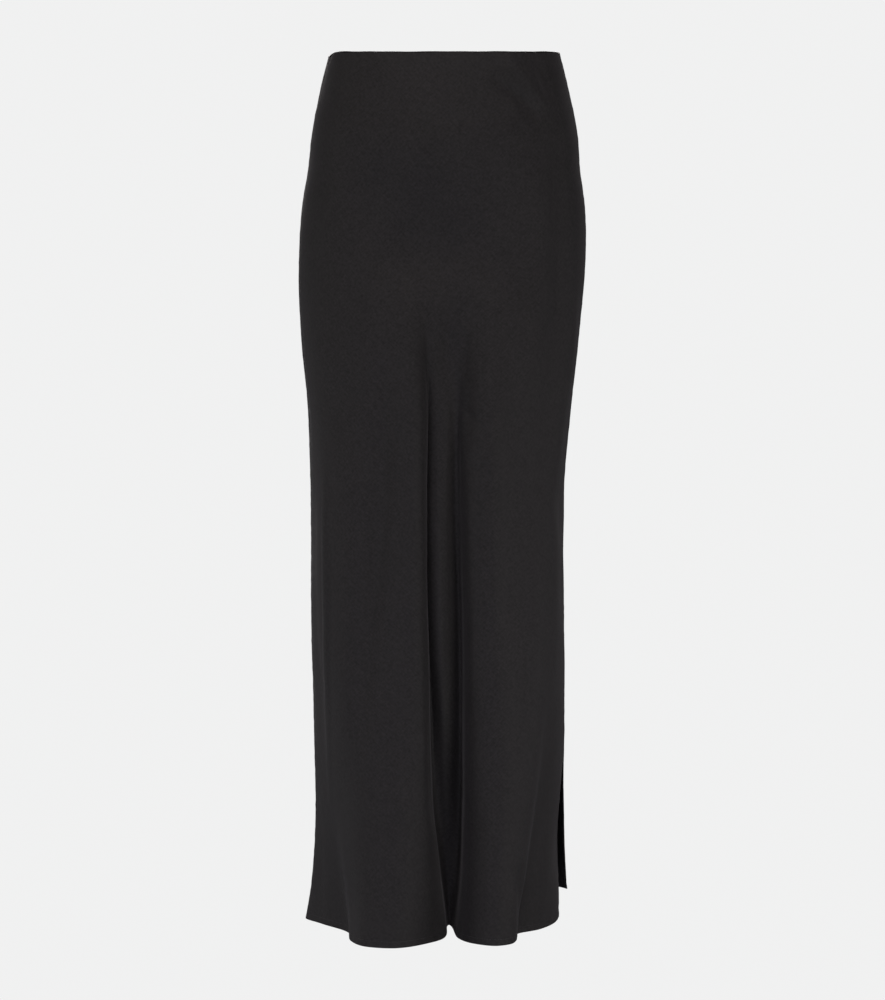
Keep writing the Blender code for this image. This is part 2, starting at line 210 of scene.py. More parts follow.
def plain_form(side, u, drop):
    size = section(drop)
    wrap = {s: turn * np.exp(-np.maximum(drop, 0) / fade) for s, (turn, fade) in SIDE_WRAP.items()}
    sign = 1.0 if side == "front" else -1.0
    start = sign * wrap["right"]
    stop = math.pi - sign * wrap["left"]
    angle = start + u * (stop - start)
    c, s = np.cos(angle), np.sin(angle)
    middle = (size["left"] - size["right"]) / 2
    half = (size["right"] + size["left"]) / 2
    x = middle - half * c * (1 + FULLNESS * s * s)
    ahead = np.where(s * sign >= 0, size["front"], size["back"])
    y = -sign * ahead * s * (1 + FULLNESS * c * c)
    return x, y


x, y = plain_form("front", np.linspace(0, 1, 200), np.full(200, 0.235))
print(f"half the hips measures {np.hypot(np.diff(x), np.diff(y)).sum() * 1000:.0f} mm round the front")

# %% [markdown]
# ## From fold table to moved cloth
#
# The fold lines are spread across the panel by the length of cloth between them, so no part is stretched
# more than another. Each line's move off the smooth form grows down the skirt, and the cloth between two
# lines follows a curve through their moves.

# %% Fold lines across the panel
SETTLING_PASSES = 3  # a line on the smooth form needs its share first, so a few passes settle them


def shares(places):
    steps = np.hypot(*np.diff(np.array(places), axis=0).T)
    return np.concatenate([[0.0], np.cumsum(steps)]) / steps.sum()


def fold_rows(side):
    return [dict(zip(FOLD_COLUMNS, row)) for row in FOLDS[side]]


def fold_level(side, level):
    """At one level, the share across the panel of each fold line and its move off the smooth form."""
    given = np.array([row[level] or (np.nan, np.nan) for row in fold_rows(side)])
    share = np.linspace(0, 1, len(given))
    for _ in range(SETTLING_PASSES):
        form = np.stack(plain_form(side, share, np.full(len(given), LEVELS[level])), axis=1)
        places = np.where(np.isnan(given), form, given)
        share = shares(places)
    return share, places - form


for level in LEVELS:
    print("back fold lines,", level, np.round(fold_level("back", level)[0], 2))

# %% [markdown]
# A real fold has no beginning: the cloth leaves the body so gently that the eye can't say where. So a
# line's move starts with no slope and passes through its places in the table. Only the slit's edges differ:
# they hang free below the slit's top, and swing apart by a simple power of the way down.

# %% How a fold grows on its way down
def grow(drop, start, moves):
    """From nothing at its start through its moves at the levels, leaving the smooth form without a kink."""
    return through(drop, [start, *LEVELS.values()], [0.0, *moves], flat=(0,))


def slit_edge(side, drop, at_hem):
    t = np.maximum((drop - SLIT_TOP) / (LENGTH - SLIT_TOP), 0)
    x = at_hem[0] * t ** SLIT_OUT[side]
    if side == "front":
        x = x - SLIT_TUCK * np.sin(math.pi * np.minimum(t, 1)) ** 2 * t
    return x, at_hem[1] * t ** SLIT_CURVE[side]


halfway = slit_edge("front", (SLIT_TOP + LENGTH) / 2, FRONT_FOLDS[-1][-1])
print("front slit edge, halfway:", [round(float(c), 4) for c in halfway])

# %% [markdown]
# ## The waist edge
#
# The edge is lower in front than behind, and the seams pull it down a little, most on the wearer's right.
# At the other end the front hem is drawn up by 9 mm between the two big folds, and the back hem hangs
# higher, since the seat takes length.

# %% The drop of the waist edge and of the hem
SEAM_DIP = {"right": 0.0055, "left": 0.0014}
DIP_WIDTH = {"front": 0.022, "back": 0.16}  # as a share of the panel's width
DIP_SHAPE = {"front": 2, "back": 4}  # a higher power keeps it level for longer before it fades
WAIST_WAVES = ((3.0, 0.4, 0.0001), (7.0, 1.9, 0.0001), (13.0, 4.0, 0.00008))  # count, phase, height
HITCH = 0.009  # the hem is drawn up between the two front folds
HITCH_AT = 0.528  # as a share of the panel's width, as is the next
HITCH_WIDTH = 0.032


def waist_drop(side, u):
    y = plain_form(side, u, np.zeros_like(u))[1]
    waves = sum(h * np.sin(2 * math.pi * n * u + phase) for n, phase, h in WAIST_WAVES)
    width, shape = DIP_WIDTH[side], DIP_SHAPE[side]
    dip = SEAM_DIP["right"] * np.exp(-((u / width) ** shape))
    dip = dip + SEAM_DIP["left"] * np.exp(-(((1 - u) / width) ** shape))
    return -np.where(y < 0, WAIST_TILT["front"], WAIST_TILT["back"]) * y + dip + waves


def hem_drop(side, u):
    if side == "front":
        return LENGTH - HITCH * np.exp(-(((u - HITCH_AT) / HITCH_WIDTH) ** 2))
    return LENGTH - BACK_HEM_RISE * np.sin(0.5 * math.pi * np.clip(u / RISE_SPAN, 0, 1)) ** 2


print(f"waist edge in front, {waist_drop('front', np.array([0.5]))[0] * 1000:.1f} mm below the sides")

# %% [markdown]
# With the form, the folds and the two edges known, one function gives any point of a panel: the smooth
# form, plus the moves of the fold lines spread over the cloth between them. Each point is worked out by
# itself, so the grid can be coarse or fine without changing the shape.

# %% The outer face of a panel, before its creases
def draped(side, u, v):
    """Points of a panel. v runs from 0 at the waist edge to 1 at the hem."""
    top = waist_drop(side, u)
    drop = top + v * (hem_drop(side, u) - top)
    rows = fold_rows(side)
    share, moves = zip(*(fold_level(side, level) for level in LEVELS))
    levels = list(LEVELS.values())
    settled = np.clip(drop, levels[0], levels[-1])
    lines = np.array([through(settled, levels, at_levels) for at_levels in np.transpose(share)])
    place = list(plain_form(side, u, drop))
    for axis in (0, 1):
        moved = [grow(drop, row["starts"], [m[k, axis] for m in moves]) for k, row in enumerate(rows)]
        moved[-1] = slit_edge(side, drop, moves[-1][-1])[axis]
        place[axis] = place[axis] + through(u, lines, moved, flat=(0, -1))
    return np.stack(place + [-drop], axis=-1)


hem_middle = draped("front", np.array([0.5]), np.array([1.0]))[0]
print("middle of the front hem:", [round(float(c), 3) for c in hem_middle])

# %% [markdown]
# ## Body bumps and creases
#
# Two more tables shape the surface itself. Bumps are wide and soft: the front's fullness and the hollow
# under it, the tops of the thighs, the seat. Each row gives a place as x and drop, how far the bump reaches
# each way, and its height, which is minus for a hollow.

# %% The bump table
BUMP_COLUMNS = ("name", "x", "drop", "wide", "tall", "height")
FRONT_BUMPS = (
    ("belly", -0.016, 0.118, 0.07, 0.05, 0.0052),
    ("hollow under the belly", -0.01, 0.226, 0.056, 0.042, -0.0112),
    ("right thigh", -0.068, 0.3, 0.046, 0.09, 0.004),
    ("left thigh", 0.068, 0.29, 0.046, 0.09, 0.004),
    ("between the thighs", 0.006, 0.342, 0.018, 0.05, -0.0082),
    ("right flank hollow", -0.086, 0.158, 0.03, 0.045, -0.0044),
    ("left waist hollow", 0.106, 0.092, 0.02, 0.046, -0.0034),
)
BACK_BUMPS = (
    ("right of the seat", -0.07, 0.215, 0.055, 0.07, 0.005),
    ("left of the seat", 0.066, 0.22, 0.055, 0.07, 0.005),
    ("between", 0.0, 0.25, 0.02, 0.09, -0.003),
    ("small of the back", 0.0, 0.05, 0.06, 0.05, -0.003),
)
BUMPS = {"front": FRONT_BUMPS, "back": BACK_BUMPS}
print({side: len(rows) for side, rows in BUMPS.items()}, "bumps")

# %% [markdown]
# Creases tell cloth from plastic, and no two are alike. Each is a line through three places, with a width
# and a height of its own. Most are drag lines, where the bias pulls from a seam, and long soft ridges and
# troughs over the legs.

# %% The crease table
CREASE_COLUMNS = ("name", "x1", "drop1", "x2", "drop2", "x3", "drop3", "width", "height")
FRONT_CREASES = (
    ("drag line at the waist", 0.05, 0.037, 0.0806, 0.0585, 0.107, 0.0825, 0.007, -0.0042),
    ("ridge beside it", 0.064, 0.013, 0.0925, 0.042, 0.116, 0.072, 0.008, 0.004),
    ("second drag line", 0.09, -0.004, 0.108, 0.03, 0.119, 0.064, 0.006, -0.003),
    ("small belly ridge", 0.013, 0.082, 0.012, 0.104, 0.012, 0.136, 0.0045, 0.002),
    ("right thigh trough", -0.067, 0.34, -0.07, 0.5, -0.092, 0.79, 0.011, -0.006),
    ("sharp line in it", -0.078, 0.56, -0.083, 0.63, -0.088, 0.74, 0.0035, -0.0014),
    ("right thigh ridge", -0.04, 0.25, -0.037, 0.48, -0.042, 0.78, 0.012, 0.0052),
    ("right hip ridge", -0.112, 0.42, -0.1, 0.56, -0.11, 0.8, 0.015, 0.003),
    ("left hip fold", 0.146, 0.25, 0.135, 0.38, 0.106, 0.56, 0.0065, 0.0036),
    ("left hip trough", 0.124, 0.06, 0.127, 0.26, 0.096, 0.52, 0.011, -0.006),
    ("left thigh ridge", 0.05, 0.24, 0.05, 0.48, 0.054, 0.78, 0.013, 0.005),
    ("left thigh trough", 0.078, 0.3, 0.076, 0.44, 0.078, 0.64, 0.013, -0.0026),
    ("left calf ridge", 0.1, 0.52, 0.101, 0.65, 0.088, 0.82, 0.011, 0.0034),
    ("pull out of the valley", 0.016, 0.392, 0.026, 0.406, 0.04, 0.424, 0.0035, -0.0016),
    ("bottom of the right valley", -0.0172, 0.32, -0.0164, 0.5, -0.015, 0.72, 0.0026, 0.0012),
    ("edge of the left valley", 0.014, 0.3, 0.0168, 0.38, 0.0195, 0.48, 0.0062, 0.0026),
    ("bottom of the left valley", 0.013, 0.345, 0.015, 0.53, 0.0144, 0.76, 0.0045, -0.0014),
    ("right side ridge", -0.133, 0.46, -0.1315, 0.64, -0.1275, 0.85, 0.003, 0.0026),
    ("left hem crease", 0.083, 0.9, 0.083, 0.94, 0.085, 0.985, 0.0045, -0.0024),
    ("faint diagonal", -0.11, 0.16, -0.07, 0.24, -0.035, 0.3, 0.014, -0.0012),
    ("fainter diagonal", 0.105, 0.17, 0.06, 0.25, 0.028, 0.31, 0.014, -0.0012),
)
BACK_CREASES = (
    ("drag line, left", 0.05, 0.008, 0.078, 0.048, 0.104, 0.1, 0.0065, -0.0014),
    ("drag line, right", -0.044, 0.006, -0.074, 0.05, -0.1, 0.104, 0.0065, -0.0013),
    ("under the seat, right", -0.108, 0.3, -0.064, 0.33, -0.024, 0.318, 0.011, -0.003),
    ("under the seat, left", 0.104, 0.306, 0.062, 0.334, 0.022, 0.32, 0.011, -0.0028),
    ("right calf trough", -0.112, 0.56, -0.104, 0.7, -0.11, 0.86, 0.009, -0.0024),
    ("left calf trough", 0.094, 0.6, 0.09, 0.74, 0.092, 0.9, 0.0085, -0.0024),
    ("middle fold", 0.012, 0.36, 0.006, 0.5, 0.004, 0.64, 0.007, 0.002),
)
CREASES = {"front": FRONT_CREASES, "back": BACK_CREASES}
print({side: len(rows) for side, rows in CREASES.items()}, "creases")

# %% [markdown]
# A crease fades out towards both of its ends, and its cross-section is a bell. The distance from a point to
# the crease is measured in x and drop, to short straight runs along a curve through the three places.

# %% Heights from the two tables
CREASE_STEPS = 14  # places along the curve of a crease
CREASE_FADE = 0.8  # below 1, a crease keeps its height for longer before its ends


def bell(distance):
    return np.exp(-(distance**2))


def bump_height(side, x, drop):
    height = np.zeros_like(x)
    for row in BUMPS[side]:
        r = dict(zip(BUMP_COLUMNS, row))
        height += r["height"] * bell((x - r["x"]) / r["wide"]) * bell((drop - r["drop"]) / r["tall"])
    return height


def crease_height(side, x, drop):
    height = np.zeros_like(x)
    t = np.linspace(0, 1, CREASE_STEPS)
    for row in CREASES[side]:
        r = dict(zip(CREASE_COLUMNS, row))
        px = through(t, [0, 0.5, 1], [r["x1"], r["x2"], r["x3"]])
        pd = through(t, [0, 0.5, 1], [r["drop1"], r["drop2"], r["drop3"]])
        nearest, along = np.full(x.shape, np.inf), np.zeros_like(x)
        for i in range(CREASE_STEPS - 1):
            dx, dd = px[i + 1] - px[i], pd[i + 1] - pd[i]
            k = np.clip(((x - px[i]) * dx + (drop - pd[i]) * dd) / (dx * dx + dd * dd), 0, 1)
            distance = np.hypot(x - px[i] - k * dx, drop - pd[i] - k * dd)
            closer = distance < nearest
            nearest = np.where(closer, distance, nearest)
            along = np.where(closer, (i + k) / (CREASE_STEPS - 1), along)
        height += r["height"] * bell(nearest / r["width"]) * np.sin(math.pi * along) ** CREASE_FADE
    return height


thigh = crease_height("front", np.linspace(-0.12, 0.12, 500), np.full(500, LEVELS["thigh"])) * 1000
print(f"creases at the thigh, from {thigh.min():.1f} to {thigh.max():.1f} mm")

# %% [markdown]
# ## Slack in the cloth
#
# No cloth hangs perfectly smooth. A few slow, low waves with unequal directions give each panel its slight
# slack and break up the sheen.

# %% Slow waves
SLACK = 0.0001  # height of one wave
WAVES = 14
WAVE_LENGTHS = (0.045, 0.16)
WAVE_LEANS = (0.2, 0.9)  # radians off the level, to either side
WAVE_SEEDS = {"front": 11, "back": 12}


def slack_height(side, across, drop):
    rng = np.random.default_rng(WAVE_SEEDS[side])
    height = np.zeros_like(across)
    for _ in range(WAVES):
        length = rng.uniform(*WAVE_LENGTHS)
        lean = rng.choice((-1, 1)) * rng.uniform(*WAVE_LEANS)
        phase = rng.uniform(0, 2 * math.pi)
        along = math.cos(lean) * across + math.sin(lean) * drop
        height += SLACK * np.sin(2 * math.pi * along / length + phase)
    return height


print(f"slack up to {SLACK * WAVES * 1000:.1f} mm if all waves met")

# %% [markdown]
# ## Seams and turned edges in the surface
#
# A seam pulls its cloth in: a narrow groove, with small puckers where the thread is tight. A turned edge is
# twice as thick, so it stands out a little as far as its stitch line, and the stitch line itself is a dent.

# %% Relief along the edges
SEAM_GROOVE = 0.0007
SEAM_WIDTH = 0.0016
TURN_STEP = 0.00035
STITCH_LINE = 0.0068  # distance of the stitches from the edge
STITCH_DENT = 0.00028
STITCH_DENT_WIDTH = 0.0007
PUCKERS = ((0.011, 0.3), (0.017, 1.7), (0.027, 4.1))  # length and phase of each set of small puckers
PUCKER = {"turn": 0.00022, "seam": 0.000286}  # height
PUCKER_REACH = {"turn": 0.006, "seam": 0.009}  # how far from the stitches they are seen
STEP_SOFTNESS = 0.0004  # distance over which the turned edge's step rises


def soft_step(x):
    """From 0 to 1, halfway at x = 0 and nearly there a few units further."""
    return 0.5 + 0.5 * np.tanh(x / 2)


def pucker(kind, along, distance):
    waves = sum(np.sin(2 * math.pi * along / length + phase) for length, phase in PUCKERS)
    return PUCKER[kind] * waves / len(PUCKERS) * bell(distance / PUCKER_REACH[kind])


def turned_relief(distance, along):
    """Height of the surface near a turned edge, from the distance to it and the place along it."""
    step = TURN_STEP * soft_step((TURN - distance) / STEP_SOFTNESS)
    dent = STITCH_DENT * bell((distance - STITCH_LINE) / STITCH_DENT_WIDTH)
    return step - dent + pucker("turn", along, distance - STITCH_LINE)


def seam_relief(distance, along):
    return pucker("seam", along, distance) - SEAM_GROOVE * bell(distance / SEAM_WIDTH)


seam_bottom = seam_relief(np.zeros(100), np.linspace(0, 1, 100)).min()
print(f"seam groove up to {-seam_bottom * 1000:.1f} mm deep")

# %% [markdown]
# ## A grid for each panel
#
# The grid is fine along the edges, where the relief is, and a little crowded towards the waist and towards
# the deep folds in the middle of the front. Elsewhere its faces are 3 to 6 mm wide. Every point also gets
# its place on the flat cloth, in metres, as the UV map, so the weave follows the cloth into the folds.

# %% Grid lines
COLUMNS = {"front": 196, "back": 158}
ROWS = 194
CROWDING = 0.035  # draws the front's grid lines towards its middle
WAIST_CROWDING = (0.65, 4)  # how much the rows are drawn towards the waist, and how soon that fades
SIDE_ENDS = ((0.01, 5), (0.02, 14))  # the share of each fine stretch at a side edge, and its grid lines
TOP_AND_HEM = ((0.004, 2), (0.0125, 18))


def spread(ends, count):
    """Values from 0 to 1: close together within a short stretch at each end, even between them."""
    (first, first_count), (last, last_count) = ends
    start = first * np.linspace(0, 1, first_count + 1)[:-1]
    middle = np.linspace(first, 1 - last, count + 1)
    stop = 1 - last + last * np.linspace(0, 1, last_count + 1)[1:]
    return np.concatenate([start, middle, stop])


def panel_grid(side):
    us = spread(SIDE_ENDS, COLUMNS[side])
    if side == "front":
        us = us + CROWDING * np.sin(2 * math.pi * us) * np.sin(math.pi * us) ** 2
    vs = spread(TOP_AND_HEM, ROWS)
    drawn, fade = WAIST_CROWDING
    vs = vs - drawn * vs * (1 - vs) ** fade
    return np.meshgrid(us, vs, indexing="ij")


print({side: panel_grid(side)[0].shape for side in COLUMNS})

# %% [markdown]
# Seams and stitches are placed by distance along the cloth, as with a tape measure. Relief is added square
# to the cloth, in a direction worked out from a point's neighbours.

# %% Lengths of cloth along the grid
def lengths(points, axis):
    """Length of cloth from the first point of each grid line, along one axis."""
    steps = np.linalg.norm(np.diff(points, axis=axis), axis=-1)
    total = np.cumsum(steps, axis=axis)
    return np.concatenate([np.zeros_like(np.take(total, [0], axis=axis)), total], axis=axis)


def outward(points, side):
    n = np.cross(np.gradient(points, axis=1), np.gradient(points, axis=0))
    if side == "back":
        n = -n
    return n / np.linalg.norm(n, axis=-1, keepdims=True)


plain_front = draped("front", *panel_grid("front"))
print(f"front side seam, {lengths(plain_front, 1)[0, -1] * 1000:.0f} mm long")

# %% [markdown]
# Everything meets here. The draped grid is moved along its own normals by the sum of all reliefs. Near a
# seam the bumps and creases fade out, so that both panels keep the seam line.

# %% The finished outer face
QUIET = 0.92  # share of the bumps and creases that is gone at a seam
QUIET_WIDTH = 0.006
SLIT_TOP_FADE = 0.004  # drop over which the seam's groove gives way to the turned edge


def finished(side):
    u, v = panel_grid(side)
    points = draped(side, u, v)
    drop = -points[..., 2]
    across, down = lengths(points, 0), lengths(points, 1)
    to_hem = down[:, -1:] - down
    to_first, to_last = across, across[-1:] - across
    middle = across[np.argmin(np.abs(u[:, 0] - 0.5))]
    height = bump_height(side, points[..., 0], drop) + crease_height(side, points[..., 0], drop)
    height += slack_height(side, across - middle, drop)
    in_slit = soft_step((drop - SLIT_TOP) / SLIT_TOP_FADE)
    near_seam = np.minimum(to_first, np.where(drop < SLIT_TOP, to_last, np.inf))
    height *= 1 - QUIET * bell(near_seam / QUIET_WIDTH)
    height += seam_relief(to_first, down)
    height += (1 - in_slit) * seam_relief(to_last, down) + in_slit * turned_relief(to_last, down)
    height += turned_relief(to_hem, across - middle)
    normal = outward(points, side)
    points = points + normal * height[..., None]
    normal = outward(points, side)
    return points, normal, np.stack([across - middle, down], axis=-1), to_hem, to_last


faces = {side: finished(side) for side in FOLDS}
for side, face in faces.items():
    print(side, "hem", round(float(lengths(face[0], 0)[-1, -1]), 3), "m")

# %% [markdown]
# ## From grid to shell
#
# A shell is two grids and a rim. The inner grid lies one cloth's thickness inside the outer one.

# %% Build a closed shell
SHARP = math.radians(60)  # an edge bent by more than this is shaded as a corner


def in_scene(name, data):
    made = bpy.data.objects.new(name, data)
    bpy.context.scene.collection.objects.link(made)
    return made


def add_object(name, mesh):
    print(f"{name}: {len(mesh.polygons)} faces")
    return in_scene(name, mesh)


def quads_of(index):
    corners = [index[:-1, :-1], index[:-1, 1:], index[1:, 1:], index[1:, :-1]]
    return np.stack(corners, axis=-1).reshape(-1, 4)


def shell(name, near_points, far_points, cloth_place):
    """A closed shell between two grids of one size. cloth_place, in metres, becomes both sides' UV map."""
    points = np.concatenate([near_points.reshape(-1, 3), far_points.reshape(-1, 3)])
    index = np.arange(len(points) // 2).reshape(near_points.shape[:2])
    other = index + index.size
    near, far = quads_of(index), quads_of(other)[:, [0, 3, 2, 1]]
    loop = np.concatenate([index[:, 0], index[-1, 1:], index[-2::-1, -1], index[0, -2:0:-1]])
    after = np.roll(loop, -1)
    rim = np.stack([loop, after, after + index.size, loop + index.size], axis=-1)
    quads = np.concatenate([near, far, rim])
    mesh = bpy.data.meshes.new(name)
    mesh.from_pydata(points, [], quads.tolist())
    place = np.concatenate([cloth_place.reshape(-1, 2)] * 2)
    uv = mesh.uv_layers.new(name="cloth")
    uv.data.foreach_set("uv", place[quads.ravel()].astype(np.float32).ravel())
    tidy = bmesh.new()
    tidy.from_mesh(mesh)
    bmesh.ops.recalc_face_normals(tidy, faces=tidy.faces)
    tidy.to_mesh(mesh)
    tidy.free()
    mesh.shade_smooth()
    mesh.set_sharp_from_angle(angle=SHARP)
    return add_object(name, mesh)


print(f"a layer of cloth is {CLOTH * 1000:.1f} mm thick")

# %% [markdown]
# Each panel is one bias piece, so each becomes one shell of a single layer, and the two meet at the side
# seams. Where an edge is folded, the shell's two faces come together on a quarter circle, so light runs
# softly over the hem.

# %% The two panels
ROUND = 0.001  # radius of the rounded edge
ROUND_SHARE = 0.45  # of the thickness, the most that each face comes in there


def rounded(distance):
    """How far the surface has come in at a distance from a rounded edge."""
    d = np.clip(distance, 0, ROUND)
    return ROUND - np.sqrt(ROUND**2 - (ROUND - d) ** 2)


def layer(side, depth, thickness):
    """A layer of cloth inside a panel's outer face, with its edges rounded off."""
    points, normal, place, to_hem, to_slit = faces[side]
    to_edge = np.minimum(to_hem, np.where(-points[..., 2] > SLIT_TOP, to_slit, np.inf))
    come_in = np.minimum(rounded(to_edge), thickness * ROUND_SHARE)
    near = points - normal * (depth + come_in)[..., None]
    far = points - normal * (depth + thickness - come_in)[..., None]
    return near, far, place


panels = {side: shell(side + "_panel_cloth", *layer(side, 0.0, CLOTH)) for side in FOLDS}

# %% [markdown]
# ## The turned edges
#
# The hem is the same cloth folded up once inside, and the slit's edges are folded in. Each is a narrow
# strip cut from the same grid, moved inwards by the cloth's thickness, so it follows every fold of the
# panel it lies on.

# %% Hem and slit strips
LAYER_GAP = 0.00008
TURNED_CLOTH = 0.9 * CLOTH  # pressed a little thinner
SLIT_MARGIN = 0.0012  # lets the strip take the grid line just past the turn's width
HEM_MARGIN = 1e-6


def strip(side, name, columns, rows):
    near, far, place = layer(side, CLOTH + LAYER_GAP, TURNED_CLOTH)
    cut = np.ix_(columns, rows)
    return shell(name, near[cut], far[cut], place[cut])


turned = {}
for side in FOLDS:
    u, v = panel_grid(side)
    to_hem, to_slit = faces[side][3], faces[side][4]
    middle_column = u.shape[0] // 2
    hem_rows = np.flatnonzero(to_hem[middle_column] <= TURN + HEM_MARGIN)
    below_top = -faces[side][0][-1, :, 2] >= SLIT_TOP
    slit_rows = np.flatnonzero(below_top & (np.arange(v.shape[1]) <= hem_rows[0] - 1))
    slit_columns = np.flatnonzero(to_slit[:, slit_rows[-1]] <= TURN + SLIT_MARGIN)
    turned[side] = [
        strip(side, side + "_hem_turn", np.arange(u.shape[0]), hem_rows),
        strip(side, side + "_slit_turn", slit_columns, slit_rows),
    ]

# %% [markdown]
# ## Node maths as sums
#
# A material's pattern is arithmetic on coordinates. Written as nodes it is hard to read, so a small class
# wraps a socket and lets it be added and multiplied like a number. Each sign adds one Math node.

# %% A socket that can be added and multiplied
class Wire:
    def __init__(self, nodes, socket):
        self.nodes, self.socket = nodes, socket

    def maths(self, operation, *values):
        return self.nodes.node("ShaderNodeMath", {"operation": operation}, dict(enumerate(values)))

    def __add__(self, other):
        return self.maths("ADD", self, other)

    def __mul__(self, other):
        return self.maths("MULTIPLY", self, other)

    def __sub__(self, other):
        return self.maths("SUBTRACT", self, other)

    __radd__, __rmul__ = __add__, __mul__

    def sine(self):
        return self.maths("SINE", self)

    def clamp(self):
        return self.nodes.node("ShaderNodeClamp", {}, {"Value": self})

    def beside(self, name):
        """Another output of the node that this one comes from."""
        return Wire(self.nodes, self.socket.node.outputs[name])


print("Wire is ready")

# %% [markdown]
# Every other node comes from one method, which takes the node's type, its options and its inputs. The same
# method serves materials, the room and Geometry Nodes. A finish is one material: the nodes of its tree and
# a way to set the shader's own sockets.

# %% One method for every node, and a material
class Nodes:
    def __init__(self, tree):
        self.tree = tree

    def node(self, kind, settings, inputs, output=0):
        made = self.tree.nodes.new(kind)
        for name, value in settings.items():
            setattr(made, name, value)
        for name, value in inputs.items():
            self.plug(made.inputs[name], value)
        return Wire(self, made.outputs[output])

    def plug(self, socket, value):
        if isinstance(value, Wire):
            self.tree.links.new(value.socket, socket)
        else:
            socket.default_value = value

    def blend(self, factor, first, second):
        """A colour between two, by a factor from 0 to 1."""
        inputs = {"Factor": factor, 6: (*first, 1), 7: (*second, 1)}
        return self.node("ShaderNodeMix", {"data_type": "RGBA"}, inputs, output=2)


class Finish(Nodes):
    def __init__(self, name):
        self.material = bpy.data.materials.new(name)
        self.material.use_nodes = True
        super().__init__(self.material.node_tree)
        self.shader = self.tree.nodes["Principled BSDF"]

    def set(self, **values):
        """Sets or links the shader's own sockets. An underscore stands for a space."""
        for name, value in values.items():
            self.plug(self.shader.inputs[name.replace("_", " ")], value)


print("Finish is ready")

# %% [markdown]
# ## The cloth
#
# The cloth is a dull, near-black crepe with a slight satin face. Its threads run at 45 degrees to the
# panel's middle, and here and there a thread is thicker: a slub. So the pattern needs two coordinates, one
# along each set of threads. Noise stretched along a thread gives the slubs and the finer threads, a shorter
# one the pebbly grain of crepe, two waves the weave, and a wide one the patches where the dye took
# unevenly.

# %% Noise along the threads
THREAD_PITCH = 0.00085
# Each noise's spot length and width, its detail, and a seed for each set of threads that it runs along.
SPOTS = {
    "slub": (0.024, 0.0013, 2.0, (3.1, 8.7)),
    "fine": (0.007, 0.0006, 2.0, (5.5, 1.9)),
    "grain": (0.0038, 0.0022, 1.0, (2.3, 6.1)),
    "patch": (0.036, 0.026, 3.0, (4.4,)),
}
NOISE_ROUGHNESS = 0.55


def thread_coordinates(finish):
    cloth = finish.node("ShaderNodeUVMap", {"uv_map": "cloth"}, {})
    across = finish.node("ShaderNodeSeparateXYZ", {}, {"Vector": cloth})
    down = across.beside("Y")
    half = math.sqrt(0.5)
    return (across + down) * half, (across - down) * half


def thread_noise(warp, weft, kind):
    """Noise from 0 to 1, the mean of one noise along each set of threads that has a seed."""
    length, width, detail, seeds = SPOTS[kind]
    found = []
    for (along, across), seed in zip(((warp, weft), (weft, warp)), seeds):
        place = {"X": along * (1 / length), "Y": across * (1 / width), "Z": seed}
        inputs = {"Scale": 1.0, "Detail": detail, "Roughness": NOISE_ROUGHNESS}
        inputs["Vector"] = warp.nodes.node("ShaderNodeCombineXYZ", {}, place)
        found.append(warp.nodes.node("ShaderNodeTexNoise", {}, inputs))
    return sum(found) * (1 / len(found))


print("kinds of noise:", list(SPOTS))

# %% [markdown]
# The noises move the colour between two near-blacks, and the roughness a little, each by its own weight.
# The slubs, the fine threads and the weave also give the relief that catches the light. The turned edges
# show the cloth's other face, so their finish is a touch darker, rougher and coarser.

# %% The cloth's material
BLACK_DARK = (0.0094, 0.0086, 0.0089)
BLACK_LIGHT = (0.019, 0.0174, 0.018)
TONE = {"slub": 1.3, "fine": 1.0, "grain": 2.3, "patch": 0.5}  # how far each noise moves the colour
ROUGH = {"slub": 0.2, "patch": 0.1}  # and the roughness
RELIEF = {"slub": 0.00016, "fine": 0.00009, "weave": 0.000012}  # metres
ROUGHNESS = 0.68
SHEEN = {"Sheen_Weight": 0.08, "Sheen_Roughness": 0.4, "Sheen_Tint": (0.8, 0.78, 0.8, 1)}


def weighted(weights, noises, middle=0.0):
    """The noises, counted from their middle, each times its weight."""
    return sum(weight * (noises[name] - middle) for name, weight in weights.items())


def cloth_finish(name, darker=1.0, rougher=0.0, grain=1.0):
    finish = Finish(name)
    warp, weft = thread_coordinates(finish)
    noises = {kind: thread_noise(warp, weft, kind) for kind in SPOTS}
    turns = 2 * math.pi / THREAD_PITCH
    noises["weave"] = (warp * turns).sine() * (weft * turns).sine()
    tone = (weighted(TONE, noises, 0.5) + 0.5).clamp()
    colour = finish.blend(tone, [c * darker for c in BLACK_DARK], [c * darker for c in BLACK_LIGHT])
    height = weighted(RELIEF, noises) * grain
    bump = finish.node("ShaderNodeBump", {}, {"Strength": 1.0, "Distance": 1.0, "Height": height})
    rough = weighted(ROUGH, noises, 0.5) + (ROUGHNESS + rougher)
    finish.set(Base_Color=colour, Roughness=rough, Normal=bump, Specular_IOR_Level=0.16, IOR=1.5, **SHEEN)
    return finish.material


cloth = cloth_finish("black_bias_crepe")
turned_cloth = cloth_finish("black_turned_edge", darker=0.92, rougher=0.06, grain=1.2)
for side in FOLDS:
    panels[side].data.materials.append(cloth)
    for piece in turned[side]:
        piece.data.materials.append(turned_cloth)
print("cloth on", [o.name for o in panels.values()])

# %% [markdown]
# ## The stitches
#
# The hem and the slit are sewn with black thread. There are hundreds of stitches, nearly alike, along a
# line that follows the cloth, which is what Geometry Nodes are good at: the line becomes a curve, points
# are set along it at the stitch pitch, and a short rounded bar is put on each and turned along the line. A
# fixed seed makes each a little longer or shorter. The instances are made real at the end.

